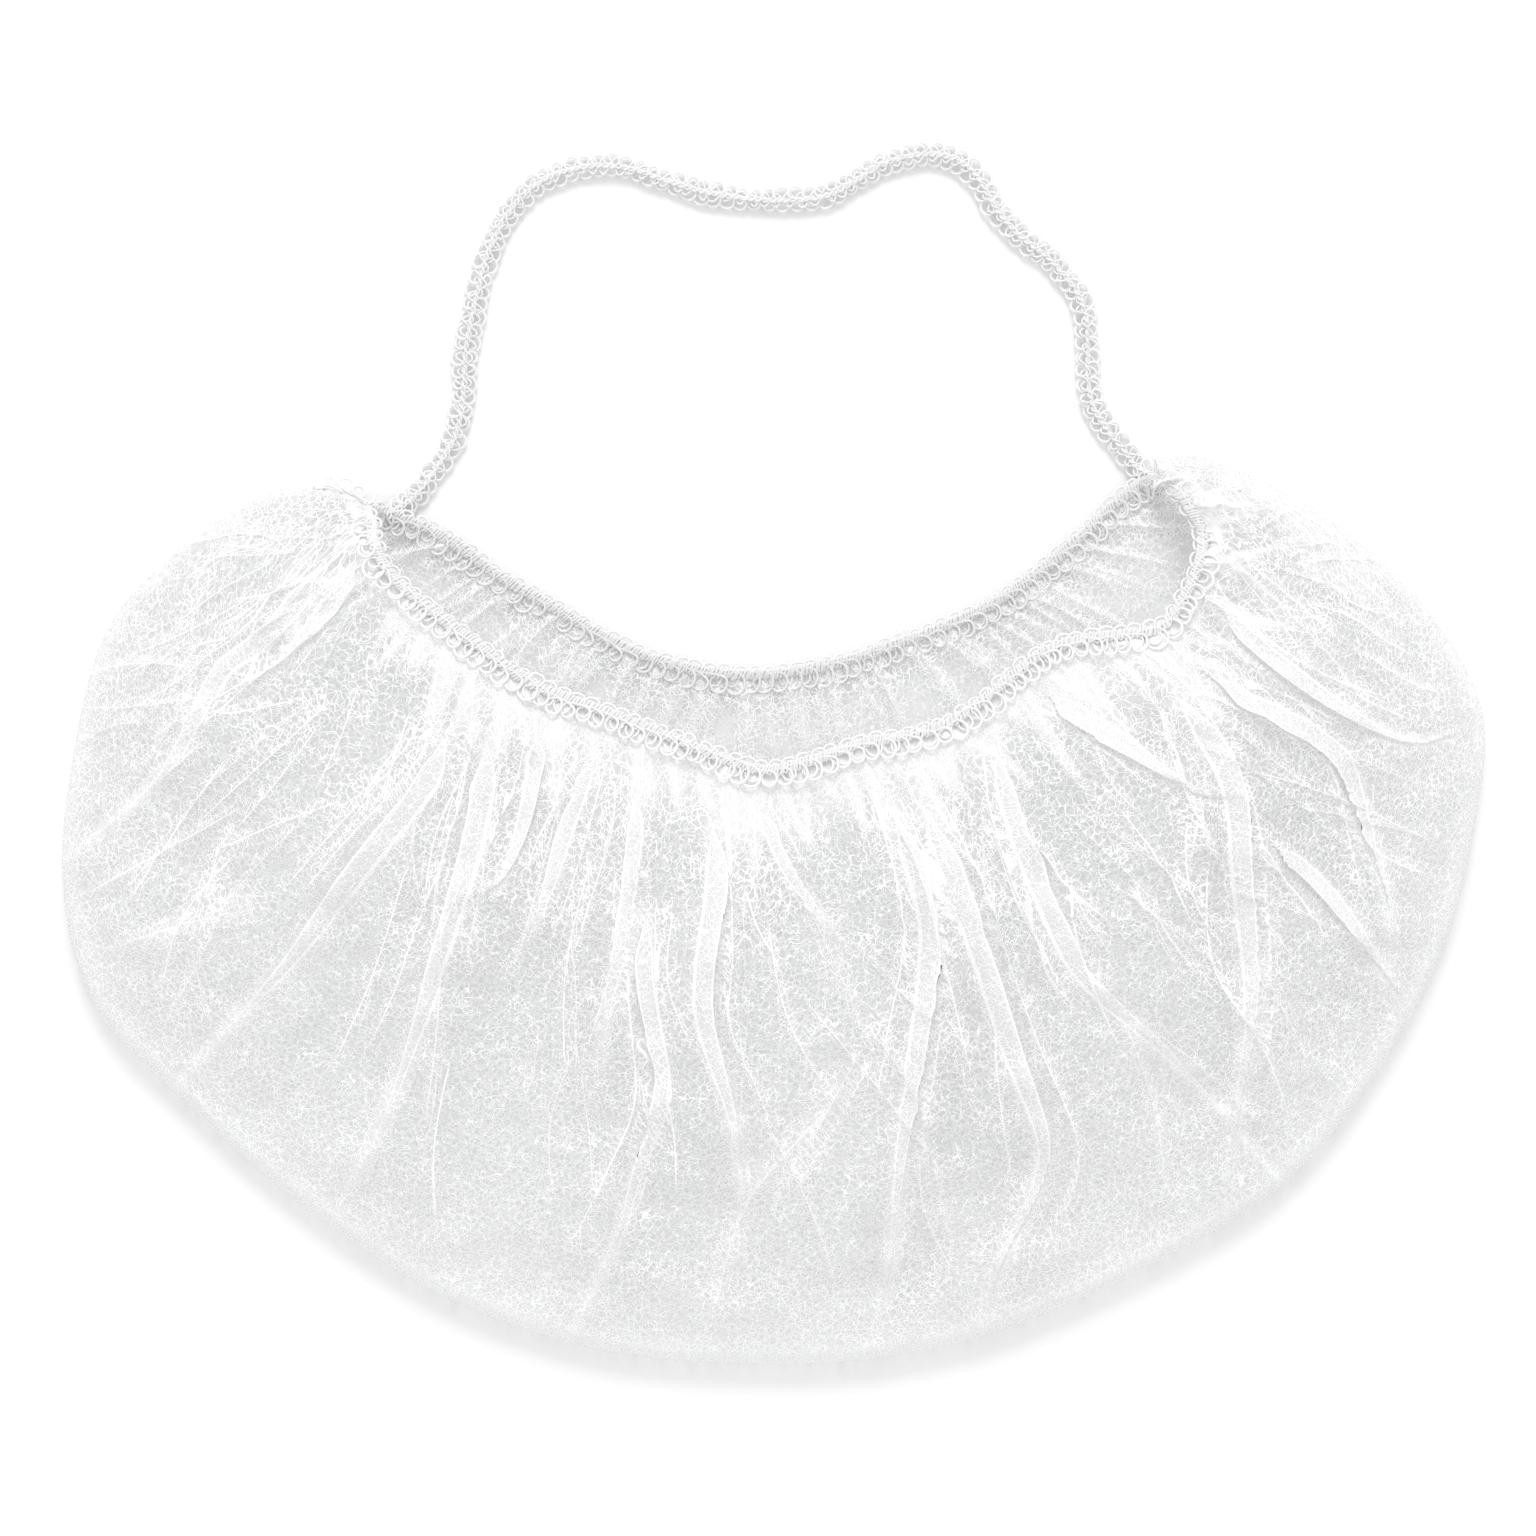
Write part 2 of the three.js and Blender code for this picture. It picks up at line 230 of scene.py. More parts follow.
def binding(line, random, pitch, swing, height, start, steps=10):
    """A thread that swings from side to side over the middle of an elastic."""
    along, forward, sideways = line_frames(line)
    place = np.linspace(0, along[-1], int(along[-1] / pitch * steps))
    turn = 2 * math.pi * place / pitch + start + uneven(random, place, pitch, 0.5)
    aside = swing * np.sin(turn) * (1 + uneven(random, place, pitch, 0.2))
    base = read_at(place, along, line) + read_at(place, along, sideways) * aside[:, None]
    base[:, 2] += height + 0.25 * MM * np.cos(turn + 0.8)
    return base


# %% [markdown]
# The head loop lies free on the table from one corner of the mouth to the other. Its
# route is the one that the frame's plain tube follows, and each end goes on into the
# mouth's elastic, where it's sewn on. The real thing is a rubber core, two rows of
# rings left and right of it, and threads that bind them. One of these is slack and
# swings wide, which fills the rings as the real lace does.

# %% Head loop
LOOP_POINTS = [
    (-69.5, 77.6), (-65.6, 81.9), (-60.8, 89.8), (-59.0, 98.4), (-58.6, 106.0),
    (-56.4, 117.4), (-54.2, 125.2), (-49.6, 133.6), (-43.8, 138.8), (-35.2, 141.4),
    (-27.4, 141.0), (-20.4, 138.6), (-11.6, 136.2), (-0.6, 134.9), (8.9, 135.5),
    (14.6, 138.0), (20.8, 141.8), (28.2, 143.7), (34.0, 143.0), (38.6, 139.6),
    (42.0, 133.8), (46.8, 128.2), (52.4, 123.8), (57.6, 117.6), (59.6, 111.2),
    (59.8, 101.4), (60.8, 95.6), (64.2, 90.4), (66.8, 87.2), (68.9, 84.4),
]
STITCH = 3.0 * MM
THREAD = 0.28 * MM  # half the thread's thickness
FINE_THREAD = 0.72 * THREAD
LOOP_HEIGHT = 1.3 * MM  # of the middle line over the table
LOOP_ENDS = (-73.8, 75.2, 3.6), (72.2, 82.4, 4.2)  # on the mouth's elastic
LOOP_RING = (1.25 * MM, 1.12 * MM)  # half length and half width
RING_MIDDLE = 1.08 * MM

loop_points = [(x, y, LOOP_HEIGHT / MM) for x, y in LOOP_POINTS]
loop_points = np.array([LOOP_ENDS[0]] + loop_points + [LOOP_ENDS[1]]) * MM
loop_line = smooth_line(loop_points, 0.5 * MM)
loop_length = line_frames(loop_line)[0][-1]
print("head loop", round(loop_length, 4), "long")


def make_head_loop():
    random = np.random.default_rng(11)
    parts = []
    for side in (-1, 1):
        rings = ring_row(loop_line, random, 0.85 * STITCH, LOOP_RING, RING_MIDDLE, 0.4 * MM, side)
        parts.append(tube(rings, THREAD))
        wound = binding(loop_line, random, 0.9 * STITCH, 0.42 * MM, 0.5 * MM, side * 1.5)
        parts.append(tube(wound, FINE_THREAD, 5))
        slack = binding(loop_line, random, 1.6 * STITCH, 1.4 * MM, 0.3 * MM, side * 1.6, steps=20)
        parts.append(tube(slack, FINE_THREAD, 5))
    return joined_mesh("head_loop_overlock", parts)


head_loop = make_head_loop()

# %% [markdown]
# The pouch is worked out from sections that fan from its mouth to its fold. A sculpted
# blob would look soft too, but its outline wouldn't be the true one. Each row is one
# section: where it meets the fold, the upper edge and the lower edge of the mouth, as
# shares of the pouch's width and depth, and how far the bag is open there.

# %% Section table
SECTION_COLUMNS = [
    "fold_across", "fold_up", "upper_across", "upper_up", "lower_across", "lower_up", "open",
]
SECTION_ROWS = np.array([
    [-0.300, 0.458, -0.287, 0.444, -0.287, 0.444, 0.0],
    [-0.355, 0.461, -0.283, 0.430, -0.270, 0.437, 0.1],
    [-0.420, 0.395, -0.281, 0.420, -0.252, 0.426, 0.3],
    [-0.469, 0.308, -0.280, 0.410, -0.236, 0.414, 0.5],
    [-0.492, 0.176, -0.278, 0.398, -0.216, 0.395, 0.7],
    [-0.500, 0.030, -0.274, 0.384, -0.192, 0.367, 0.8],
    [-0.479, -0.102, -0.263, 0.361, -0.164, 0.342, 0.9],
    [-0.418, -0.206, -0.240, 0.330, -0.138, 0.318, 1.0],
    [-0.334, -0.322, -0.207, 0.291, -0.111, 0.294, 1.0],
    [-0.236, -0.423, -0.165, 0.246, -0.083, 0.276, 1.0],
    [-0.130, -0.482, -0.114, 0.216, -0.051, 0.263, 1.0],
    [-0.024, -0.500, -0.059, 0.182, -0.020, 0.259, 1.0],
    [0.075, -0.494, -0.003, 0.154, 0.011, 0.262, 1.0],
    [0.170, -0.458, 0.059, 0.182, 0.041, 0.271, 1.0],
    [0.272, -0.386, 0.116, 0.201, 0.070, 0.284, 1.0],
    [0.360, -0.300, 0.156, 0.243, 0.099, 0.300, 1.0],
    [0.424, -0.180, 0.193, 0.287, 0.127, 0.317, 1.0],
    [0.473, -0.034, 0.235, 0.301, 0.152, 0.336, 0.9],
    [0.495, 0.110, 0.270, 0.310, 0.176, 0.360, 0.8],
    [0.498, 0.220, 0.289, 0.350, 0.197, 0.386, 0.7],
    [0.465, 0.320, 0.298, 0.386, 0.217, 0.413, 0.6],
    [0.408, 0.412, 0.300, 0.412, 0.233, 0.438, 0.4],
    [0.350, 0.468, 0.295, 0.434, 0.247, 0.457, 0.3],
    [0.302, 0.499, 0.285, 0.456, 0.259, 0.471, 0.1],
    [0.268, 0.497, 0.272, 0.472, 0.272, 0.476, 0.0],
])
LAST_SECTION = len(SECTION_ROWS) - 1
print("sections", len(SECTION_ROWS))


def section_value(name, section):
    """A smooth value of one column between the rows of the section table."""
    column = SECTION_ROWS[:, SECTION_COLUMNS.index(name)]
    section = np.asarray(section, float)
    index = np.minimum(np.floor(section), LAST_SECTION - 1).astype(int)

    def at(i):
        return column[np.clip(i, 0, LAST_SECTION)]

    slope_in = (at(index + 1) - at(index - 1)) / 2
    slope_out = (at(index + 2) - at(index)) / 2
    rise = at(index + 1) - at(index)
    return cubic(at(index), rise, slope_in, slope_out, section - index)


def plan(line, section):
    """The fold, the upper edge or the lower edge seen from above, as x and y."""
    across = section_value(line + "_across", section) * POUCH_WIDTH
    up = section_value(line + "_up", section) * POUCH_DEPTH
    return np.stack([across, up], axis=-1)


# %% [markdown]
# The heights make the bag: the upper cloth stands up round the open mouth, bulges in
# the middle and comes down to a soft rounded fold, and the lower cloth lies flat. Seen
# from above they only show in the shading, so they are chosen to be as high as thin
# gathered cloth holds itself up.

# %% Heights of the bag
CROWN_HEIGHT = 21 * MM
EDGE_LIFT = 14 * MM
CORNER_LIFT = 8.8 * MM
RIM_HEIGHT = 7 * MM
ELASTIC_RADIUS = 2.4 * MM
TABLE_GAP = 0.35 * MM
print("crown", CROWN_HEIGHT, "upper edge", EDGE_LIFT, "rim", RIM_HEIGHT)


def edge_height(line, section):
    """Height of the elastic's middle line on the upper or the lower mouth edge."""
    opened = section_value("open", section)
    corner = (CORNER_LIFT + ELASTIC_RADIUS) / 2
    if line == "lower":
        return corner + (ELASTIC_RADIUS - corner) * np.clip(opened / 0.08, 0, 1)
    turned = corner + (CORNER_LIFT - corner) * np.clip(opened / 0.12, 0, 1)
    return turned + (EDGE_LIFT - turned) * ease(opened, 0.12, 1.0)


def bag_sheet(section, along):
    """The smooth bag. along runs from -1 at the upper mouth edge through 0 at the fold
    to 1 at the lower mouth edge. Gives the points and how far down from the mouth each
    one is, from 0 to 1."""
    upper = along < 0
    fold = plan("fold", section)
    edge = np.where(upper[..., None], plan("upper", section), plan("lower", section))
    reach = np.linalg.norm(fold - edge, axis=-1)
    radius = np.minimum(RIM_HEIGHT / 2, reach / 2)
    from_fold = np.abs(along)
    in_rim = from_fold < RIM_SHARE
    turn = from_fold / RIM_SHARE * math.pi / 2
    panel = np.clip((from_fold - RIM_SHARE) / (1 - RIM_SHARE), 0, 1)
    inward = np.where(in_rim, radius * (1 - np.cos(turn)), radius + panel * (reach - radius))
    share = inward / reach
    flat = fold + (edge - fold) * share[..., None]
    opened = section_value("open", section)
    top = edge_height("upper", section)
    straight = RIM_HEIGHT + (top - RIM_HEIGHT) * panel
    crown = (CROWN_HEIGHT - (RIM_HEIGHT + EDGE_LIFT) / 2) * opened
    bulge = crown * np.clip(np.sin(math.pi * panel ** 1.25), 0, 1) ** (0.8 + 0.4 * panel)
    upper_height = straight + bulge
    edge_rise = edge_height("lower", section) - TABLE_GAP
    lower_height = TABLE_GAP + edge_rise * panel ** 4
    rim_middle = RIM_HEIGHT / 2
    rim_height = np.where(upper, rim_middle + np.sin(turn) * rim_middle,
                          rim_middle - np.sin(turn) * (rim_middle - TABLE_GAP))
    height = np.where(in_rim, rim_height, np.where(upper, upper_height, lower_height))
    return np.concatenate([flat, height[..., None]], axis=-1), 1 - share


# %% [markdown]
# The cloth is a grid of sections and rows. Over the rim the rows lie close, since the
# cloth turns there, and the upper cloth has far more rows than the lower one, because
# all the pleats are in it.

# %% Grid of the cloth
SECTIONS_FINE = 900
UPPER_ROWS = 80
RIM_ROWS = 5
LOWER_ROWS = 17
RIM_SHARE = 0.06

fine_places = np.linspace(0, LAST_SECTION, 2000)
step = np.linalg.norm(np.diff(plan("fold", fine_places), axis=0), axis=1)
step = step + np.linalg.norm(np.diff(plan("upper", fine_places), axis=0), axis=1)
measure = np.r_[0, np.cumsum(step)]
even_measure = np.linspace(0, measure[-1], SECTIONS_FINE + 1)
section_places = np.interp(even_measure, measure, fine_places)
upper_places = -1 + (1 - RIM_SHARE) * np.linspace(0, 1, UPPER_ROWS + 1) ** 1.15
rim_places = np.linspace(-RIM_SHARE, RIM_SHARE, 2 * RIM_ROWS + 1)
lower_places = 1 - (1 - RIM_SHARE) * np.linspace(1, 0, LOWER_ROWS + 1) ** 1.6
row_places = np.r_[upper_places[:-1], rim_places, lower_places[1:]]
section_grid, along_grid = np.meshgrid(section_places, row_places, indexing="ij")
cloth_points, down_grid = bag_sheet(section_grid, along_grid)
upper_cloth = along_grid < 0
print("cloth grid", section_grid.shape)

# %% [markdown]
# A pleat in thin cloth is a fold over a fold: for the width of the pleat three layers
# lie on each other. Laying strips on the cloth would show the same bands, but real
# folds have one cloth running through them. So the grid itself is folded: points near
# a pleat's line are pushed across it so far that the cloth turns back on itself, and
# lifted so that the layers stay apart.

# %% Folding the cloth
FOLD_THROW = 0.9  # over 0.32 the cloth turns back on itself
RIDGE_THROW = 0.2
TUCK_THROW = 0.22
LAYER_GAP = 0.75 * MM
STEEPEST = 0.6  # limit to the slopes that the folding reckons with
TURN_LINE = math.acos(1 / (FOLD_THROW * math.pi)) / math.pi
LAYER_SHIFT = 0.21  # metres, so that layers on each other never show the same fibres
density = np.zeros(section_grid.shape)  # how bunched the cloth is
crease = np.zeros(section_grid.shape)  # how white the turned edges are
turn_place = np.ones(section_grid.shape)  # how far a point is from its pleat's middle
layer_shift = np.zeros(section_grid.shape)
ridge = np.zeros(section_grid.shape)  # how white a ridge's line is
ridge_place = np.full(section_grid.shape, 2.0)  # how far a point is from that line


def plan_slopes(points):
    """How steeply a grid of points climbs along x and along y."""
    by_column, by_row = np.gradient(points, axis=0), np.gradient(points, axis=1)
    area = by_column[..., 0] * by_row[..., 1] - by_column[..., 1] * by_row[..., 0]
    area = np.where(np.abs(area) < 1e-9, 1e-9, area)
    along_x = (by_column[..., 2] * by_row[..., 1] - by_row[..., 2] * by_column[..., 1]) / area
    along_y = (by_row[..., 2] * by_column[..., 0] - by_column[..., 2] * by_row[..., 0]) / area
    return np.clip(np.stack([along_x, along_y], axis=-1), -STEEPEST, STEEPEST)


slope_grid = plan_slopes(cloth_points)
print("a pleat turns", round(TURN_LINE, 3), "of its half width from the middle")


def left_of(way):
    return np.array([-way[1], way[0]])


def along_route(points, route, side):
    """The nearest place on a route for each point: how far away it is, what share of the
    route lies before it, how far to its side the point is, and the way across."""
    lengths = lengths_along(route)
    best = np.full(len(points), np.inf)
    share = np.zeros(len(points))
    aside = np.zeros(len(points))
    across = np.zeros((len(points), 2))
    for a, b, begin in zip(route, route[1:], lengths):
        run = b - a
        size = np.linalg.norm(run)
        run = run / size
        offset = points[:, :2] - a
        forward = np.clip(offset @ run, 0, size)
        distance = np.linalg.norm(offset - forward[:, None] * run, axis=1)
        normal = left_of(run) * side
        closer = distance < best
        best[closer] = distance[closer]
        share[closer] = (begin + forward[closer]) / lengths[-1]
        aside[closer] = (offset @ normal)[closer]
        across[closer] = normal
    return best, share, aside, across


# %% [markdown]
# One helper does every fold. With a strong throw the cloth turns back on itself and
# three layers lie there. With a weak one only a low ridge is raised, which is enough
# for a crease. It also notes on the points where the white lines of folds and creases
# run, so that the material can draw them sharper than the grid is fine.

# %% One fold or ridge
def fold_cloth(route, width, throw=FOLD_THROW, lift=LAYER_GAP, side=1, where=None, start=0.15,
               end=0.65, crisp=1.0, dense=0.5):
    """Folds the cloth along a route, a list of (x, y). The pleat grows to its full
    width over the start share of the route and thins out over the end share. With a
    throw under a third the cloth doesn't turn and only a ridge is raised."""
    route = np.asarray(route, float)
    chosen = upper_cloth if where is None else where
    low, high = route.min(0) - 1.5 * width, route.max(0) + 1.5 * width
    near = chosen & np.all((cloth_points[..., :2] > low) & (cloth_points[..., :2] < high), axis=-1)
    if not near.any():
        return
    points = cloth_points[near]
    best, share, aside, across = along_route(points, route, side)
    taper = ease(share, 0, start) * (1 - ease(share, 1 - end, 1))
    half = np.maximum(width * (0.25 + 0.75 * taper), 1e-6)
    x = aside / half
    inside = (np.abs(x) < 1) & (best < 1.01 * half)
    seen = np.minimum(1, 2 * taper)
    turned = throw * taper
    if throw * math.pi > 1:
        rise = 2 * ease(x, -0.6, 0.6) * (1 - ease(x, 0.55, 1.0))
        bend = np.maximum(turned * math.pi, 1.0)
        line = np.arccos(1 / bend) / math.pi
        reached = np.clip(np.abs(x) / np.maximum(line, 0.06) * TURN_LINE, 0, 1)
        layer_shift[near] += np.where(inside & (np.abs(x) < line), LAYER_SHIFT, 0)
    else:
        rise = (1 - np.clip(x * x, 0, 1)) ** 2
        reached = 1
        closer = (best < 1.6 * half) & (np.abs(x) < np.abs(ridge_place[near]))
        line = crisp * seen * (1 - ease(best / half, 1.0, 1.3))
        ridge_place[near] = np.where(closer, x, ridge_place[near])
        ridge[near] = np.where(closer, line, ridge[near])
        crisp = 0
    push = -turned * half * np.sin(math.pi * np.clip(x, -1, 1))
    push = np.where(inside[:, None], push[:, None] * across, 0)
    points[:, :2] += push
    points[:, 2] += np.sum(push * slope_grid[near], axis=1)
    points[:, 2] += np.where(inside, lift * rise * taper, 0)
    cloth_points[near] = points
    band = dense * seen * (1 - ease(np.abs(x), 0.7, 1.0))
    density[near] = np.maximum(density[near], np.where(inside, band, 0))
    crease[near] = np.maximum(crease[near], crisp * seen * (1 - ease(best / half, 1.0, 1.4)))
    turn_place[near] = np.minimum(turn_place[near], np.where(inside, reached, 1))


# %% [markdown]
# The main pleats follow the cloth's own way down from the tight mouth to the wide
# fold. Each row is one pleat: its width, the side that it is laid to, and the few
# points of its route, in millimetres. Each runs on a little past its last point, where
# it thins out. The narrowest are ridges, because a fold needs some cloth to turn.

# %% Main pleats
RIDGES_UNDER = 2.5  # millimetres
TIP = 0.25  # length of the thin end, as a share of the route's span
ROUTE_STEP = 4 * MM
MAIN_PLEATS = [
    (4.0, 1, [(-81, 69), (-96, 51), (-104, 45), (-115, 26), (-131, 12)]),
    (3.0, -1, [(-77, 66), (-88, 52), (-97, 42)]),
    (5.0, 1, [(-61, 40), (-64, 26), (-77, 9), (-90, -8), (-99, -18), (-110, -30)]),
    (4.6, 1, [(-56, 40), (-54, 28), (-57, 11), (-62, -6), (-66, -19), (-73, -38), (-80, -52)]),
    (3.2, -1, [(-44, 36), (-46, 21), (-51, 6), (-58, 2)]),
    (3.0, 1, [(-33, 32), (-39, 15), (-43, 2), (-49, -10)]),
    (3.6, 1, [(-26, 26), (-26, 15), (-28, -2), (-31, -17), (-33, -32)]),
    (3.4, 1, [(-24, 7), (-24, -14), (-21, -34), (-26, -50), (-29, -61), (-35, -74), (-38, -80)]),
    (4.4, -1, [(-12, 23), (-11, 6), (-13, -10), (-13, -21), (-8, -38), (-6, -52), (-6, -61)]),
    (2.6, -1, [(-3, 21), (3, 7), (14, -7)]),
    (4.2, -1, [(18, 28), (24, 15), (29, -4), (27, -25), (24, -46), (22, -67), (19, -82)]),
    (4.6, -1, [(24, 28), (32, 11), (38, -6), (45, -27), (51, -44), (49, -54), (43, -67), (39, -81)]),
    (4.0, -1, [(40, 40), (44, 21), (51, 2), (58, -12), (72, -25), (83, -36), (94, -49)]),
    (3.6, 1, [(49, 42), (62, 34), (75, 25), (84, 20)]),
    (3.2, 1, [(92, 14), (102, 6), (111, -5), (119, -17)]),
    (4.8, -1, [(70, 47), (79, 36), (86, 23), (88, 6), (90, -17), (88, -36), (86, -54)]),
    (3.4, 1, [(77, 47), (89, 40), (106, 30), (112, 15), (116, 2), (117, -10)]),
    (3.0, 1, [(81, 59), (98, 44), (119, 32), (131, 34)]),
    (2.4, -1, [(84, 69), (98, 55), (108, 44), (113, 36)]),
    (2.4, 1, [(88, 82), (100, 72), (117, 57)]),
    (2.0, 1, [(-95, 1), (-113, -3), (-127, -8)]),
    (2.4, 1, [(18, -23), (9, -38), (-5, -55), (-12, -78)]),
]

for width, side, route in MAIN_PLEATS:
    line = smooth_line(np.array(route) * MM, ROUTE_STEP)
    last = line[-1] - line[-2]
    tip = TIP * np.linalg.norm(line[-1] - line[0]) * last / np.linalg.norm(last)
    line = np.vstack([line, line[-1] + tip / 2, line[-1] + tip])
    if width < RIDGES_UNDER:
        fold_cloth(line, 1.6 * width * MM, throw=RIDGE_THROW, lift=0.8 * MM, side=side,
                   crisp=0.6, dense=0.2)
    else:
        fold_cloth(line, width * MM, side=side)
print("main pleats", len(MAIN_PLEATS))

# %% [markdown]
# Beside a pleat the cloth keeps a few more lines, where it was pinched before.
# They start with the pleat and drift away from it.

# %% Lines beside the pleats
PINCHES = 2  # for each pleat


def pinch_lines(random):
    for width, side, route in MAIN_PLEATS:
        for _ in range(PINCHES):
            away = random.uniform(1.2, 2.2) * width * random.choice([-1, 1])
            end = random.uniform(0.6, 1.0)
            points = np.array(route, float)[:max(2, round(end * len(route)))]
            run = points[-1] - points[0]
            normal = left_of(run) / np.linalg.norm(run)
            share = np.linspace(0.35, 1, len(points))[:, None]
            line = points + normal * away * share + random.normal(0, 0.7, points.shape)
            line = smooth_line(line * MM, ROUTE_STEP)
            fold_cloth(line, random.uniform(1.6, 2.4) * MM, throw=RIDGE_THROW, lift=0.5 * MM,
                       start=0.2, end=0.5, crisp=random.uniform(0.6, 1.0), dense=0.15)


pinch_lines(np.random.default_rng(17))
print("lines beside the pleats", PINCHES * len(MAIN_PLEATS))

# %% [markdown]
# Between the main pleats the mouth is gathered in many short tucks, a few millimetres
# apart, that die out in the cloth. They are strewn by rule, with a seeded generator.

# %% Small tucks at the mouth
def bowed_line(random, start, way, length, bend, spacing):
    """A line from start, bowed to one side by about bend times its length."""
    bow = left_of(way) * random.normal(0, bend) * length
    return smooth_line([start, start + way * length * 0.5 + bow, start + way * length], spacing)


def gather_tucks(line, random, spacing, lengths, widths, where, whiteness):
    """Short folds that start at a mouth edge and run down the cloth."""
    section = np.linspace(0.4, LAST_SECTION - 0.4, 900)
    edge = plan(line, section)
    along = lengths_along(edge)
    place = spacing / 2
    count = 0
    while place < along[-1]:
        s = np.interp(place, along, section)
        drift = random.normal(0, 0.8)
        start, end = plan(line, s), plan("fold", np.clip(s + drift, 0, LAST_SECTION))
        reach = np.linalg.norm(end - start)
        length = min(random.uniform(*lengths), 0.7 * reach)
        route = bowed_line(random, start, (end - start) / reach, length, 0.08, 3 * MM)
        fold_cloth(route, random.uniform(*widths), throw=TUCK_THROW, lift=0.6 * MM,
                   side=random.choice([-1, 1]), where=where, start=0.02, end=0.9,
                   crisp=random.uniform(*whiteness), dense=0.55 * whiteness[1])
        place += spacing * random.uniform(0.6, 1.4)
        count += 1
    return count


random_tucks = np.random.default_rng(5)
lower_cloth = along_grid > RIM_SHARE
upper_tucks = gather_tucks("upper", random_tucks, 3.6 * MM, (9 * MM, 36 * MM),
                           (1.3 * MM, 3.2 * MM), upper_cloth, (0.4, 1.0))
lower_tucks = gather_tucks("lower", random_tucks, 3.0 * MM, (12 * MM, 34 * MM),
                           (1.0 * MM, 2.4 * MM), lower_cloth, (0.3, 0.8))
print("tucks", upper_tucks, "in the upper cloth,", lower_tucks, "in the lower")

# %% [markdown]
# Handled cloth keeps fine creases too, mostly along the pleats and a little across
# them. They are low ridges whose line is whiter than the cloth beside it.

# %% Fine creases
CREASES = 140


def strew_creases(random):
    for _ in range(CREASES):
        s = random.uniform(1.5, LAST_SECTION - 1.5)
        top, bottom = plan("upper", s), plan("fold", s)
        way = (bottom - top) / np.linalg.norm(bottom - top)
        start = top + (bottom - top) * random.uniform(0.05, 0.6)
        length = min(random.uniform(15, 60) * MM, 0.9 * np.linalg.norm(bottom - start))
        lean = math.radians(random.normal(0, 16))
        way = way * math.cos(lean) + left_of(way) * math.sin(lean)
        route = bowed_line(random, start, way, length, 0.06, ROUTE_STEP)
        fold_cloth(route, random.uniform(1.2, 2.4) * MM, throw=RIDGE_THROW, lift=0.5 * MM,
                   start=0.3, end=0.5, crisp=random.uniform(0.5, 1.0),
                   dense=random.uniform(0.0, 0.2))


strew_creases(np.random.default_rng(31))
print("fine creases", CREASES)

# %% [markdown]
# Thin cloth is never quite smooth: broad soft waves and small crumples lie over the
# pleats. They are sums of a few waves in seeded directions.

# %% Waves and crumples
def crumple(points, random, length, height, waves=14):
    """A soft uneven height over the plan, from waves of about one length."""
    total = np.zeros(points.shape[:2])
    for _ in range(waves):
        angle = random.uniform(0, 2 * math.pi)
        way = np.array([math.cos(angle), math.sin(angle)]) * 2 * math.pi
        total += np.sin(points[..., :2] @ way / (length * random.uniform(0.7, 1.5))
                        + random.uniform(0, 2 * math.pi))
    return total * height / math.sqrt(waves)


random_waves = np.random.default_rng(8)
from_rim = ease(1 - down_grid, 0, 0.12)
from_mouth = ease(down_grid, 0, 0.10)
amount = from_rim * from_mouth
cloth_points[..., 2] += np.where(upper_cloth, amount, 0) * (
    crumple(cloth_points, random_waves, 34 * MM, 0.9 * MM)
    + crumple(cloth_points, random_waves, 11 * MM, 0.35 * MM))
lifted = crumple(cloth_points, random_waves, 22 * MM, 0.5 * MM)
cloth_points[..., 2] += np.where(lower_cloth, amount * np.abs(lifted), 0)
cloth_points[..., 2] = np.maximum(cloth_points[..., 2], TABLE_GAP / 2)
print("highest point", round(float(cloth_points[..., 2].max()), 4))

# %% [markdown]
# Where the cloth is bunched, more fibres cover each spot. A value on every point tells
# the material how bunched it is: full at the seam, less down the gathers and some at the
# turned edges of pleats. Over the rim it is partly the cloth seen edge on and partly
# painted light that lifts the shade of the rim's steep faces. The white of the seam runs
# out in uneven streaks, and there's less of it at the mouth's corners.

# %% How bunched the cloth is
SEAM_WIDTH = 3.0 * MM
RIM_COVER_AND_LIGHT = 0.27
RIM_COVER_AND_LIGHT_WIDTH = 13 * MM
LOWER_SEAM = 0.5  # as a share of the upper one
CORNER_SEAM = 0.35

edge_grid = np.where(upper_cloth[..., None], plan("upper", section_grid),
                     plan("lower", section_grid))
gap_to_mouth = down_grid * np.linalg.norm(plan("fold", section_grid) - edge_grid, axis=-1)
gap_to_rim = (1 - down_grid) * gap_to_mouth / np.maximum(down_grid, 1e-6)
place_along = section_grid * 7 * MM
streak = crumple(np.stack([place_along, 0.12 * gap_to_mouth], axis=-1), random_waves, 3.2 * MM, 1.0)
streak_length = (0.8 + 2.2 * np.clip(streak, 0, 2) ** 1.5) * MM
seam = np.exp(-np.maximum(gap_to_mouth - SEAM_WIDTH, 0) / streak_length)
seam = np.where(upper_cloth, seam, LOWER_SEAM * seam)
corner = np.minimum(section_grid, LAST_SECTION - section_grid)
seam *= CORNER_SEAM + (1 - CORNER_SEAM) * ease(corner, 0.8, 3.0)
# painted light on the rim: more cover and a whiter tint against the shade of its steep faces, on top
# of the cloth seen edge on
rim_cover_and_light = RIM_COVER_AND_LIGHT * np.exp(-gap_to_rim / RIM_COVER_AND_LIGHT_WIDTH)
density = np.clip(np.maximum(density, seam) + rim_cover_and_light, 0, 1)
print("bunched on average", round(float(density.mean()), 3))

# %% [markdown]
# The fibres need a place on the flat cloth. The grid's own rows would stretch them
# beside each fold, so they are laid by where a point is seen in the plan, drawn in a
# little down the slopes. The turned layer of a pleat and the lower cloth take their
# fibres from elsewhere, so two layers never show the same ones.

# %% Where the fibres lie
LOWER_SHIFT = 0.4  # metres
SHARP_ANGLE = 45  # degrees from which an edge isn't smoothed

